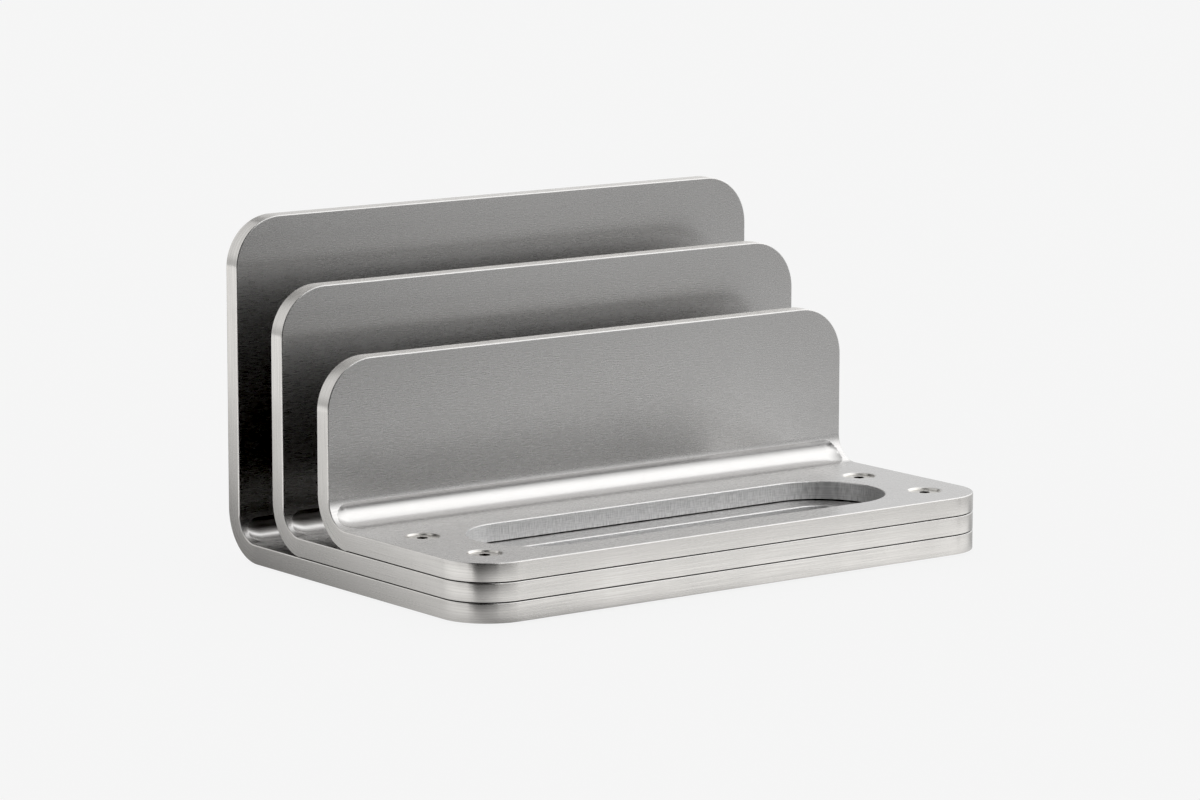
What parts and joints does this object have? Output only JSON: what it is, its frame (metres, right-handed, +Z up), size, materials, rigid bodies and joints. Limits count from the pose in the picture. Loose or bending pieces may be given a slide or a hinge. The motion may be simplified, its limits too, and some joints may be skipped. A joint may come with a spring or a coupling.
{
  "type": "desk envelope sorter",
  "caption": "Desk sorter of bent steel plates stacked leaf on leaf: stepped upright flanges hold envelopes and cards, and a long stepped well in the front leaf holds pens and clips.",
  "frame": {"origin": "on the desk under the feet, in the middle of the plan of the whole sorter", "axes": "+Z up, +X along the plates to the right, -Y towards the front with the well, +Y towards the tallest flange"},
  "size_m": [0.2, 0.132, 0.1075],
  "materials": {
    "plate_steel": "brushed lengthwise, edges eased",
    "screw_steel": "plain bright, turned",
    "foot_rubber": "matt, self-adhesive pad"
  },
  "bodies": {
    "root": {"rear_plate": "plate_steel", "middle_plate": "plate_steel", "front_plate": "plate_steel", "screw_front_left": "screw_steel", "screw_front_right": "screw_steel", "screw_rear_left": "screw_steel", "screw_rear_right": "screw_steel", "foot_front_left": "foot_rubber", "foot_front_right": "foot_rubber", "foot_rear_left": "foot_rubber", "foot_rear_right": "foot_rubber"}
  },
  "joints": []
}
